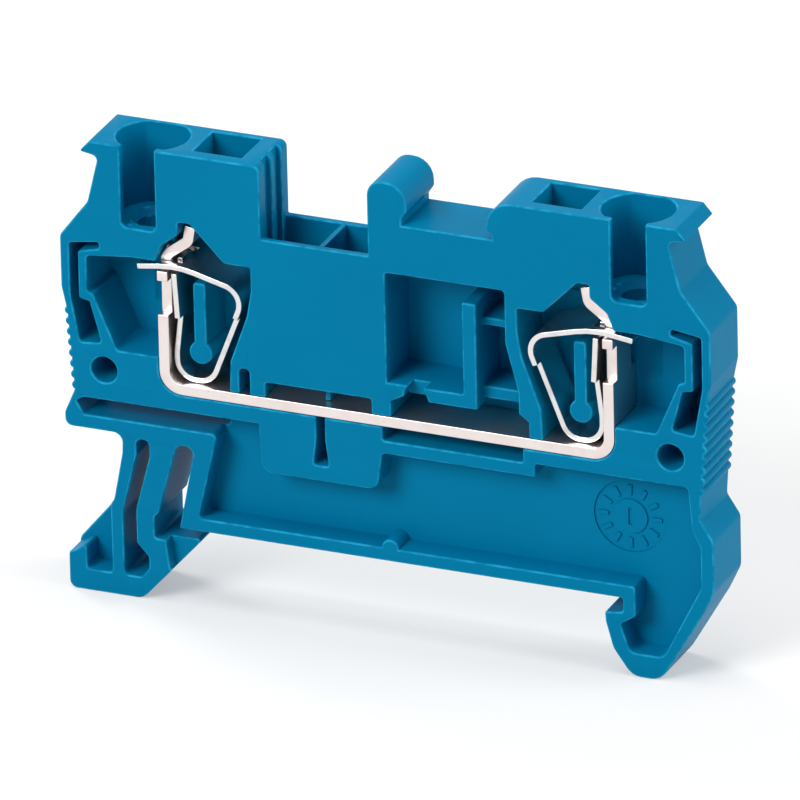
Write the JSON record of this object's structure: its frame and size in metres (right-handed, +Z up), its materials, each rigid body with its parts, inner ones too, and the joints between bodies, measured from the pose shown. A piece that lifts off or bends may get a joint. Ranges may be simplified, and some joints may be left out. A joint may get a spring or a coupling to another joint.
{
  "type": "spring terminal block",
  "caption": "Feed-through spring terminal block for a top-hat rail: slim open moulded housing with a bent current bar between cage springs that clamp a wire at each end.",
  "frame": {"origin": "middle of the rail seat, on the plane of the rail's flanges", "axes": "+X along the block towards the rigid foot, +Y along the rail towards the closed side, +Z up from the rail"},
  "size_m": [0.0494, 0.0067, 0.0352],
  "materials": {
    "housing": "blue moulded polyamide, satin",
    "bar": "tin-plated copper, satin",
    "spring": "bright spring steel"
  },
  "bodies": {
    "root": {"housing": "housing", "current_bar": "bar", "left_cage_spring": "spring", "right_cage_spring": "spring"}
  },
  "joints": []
}
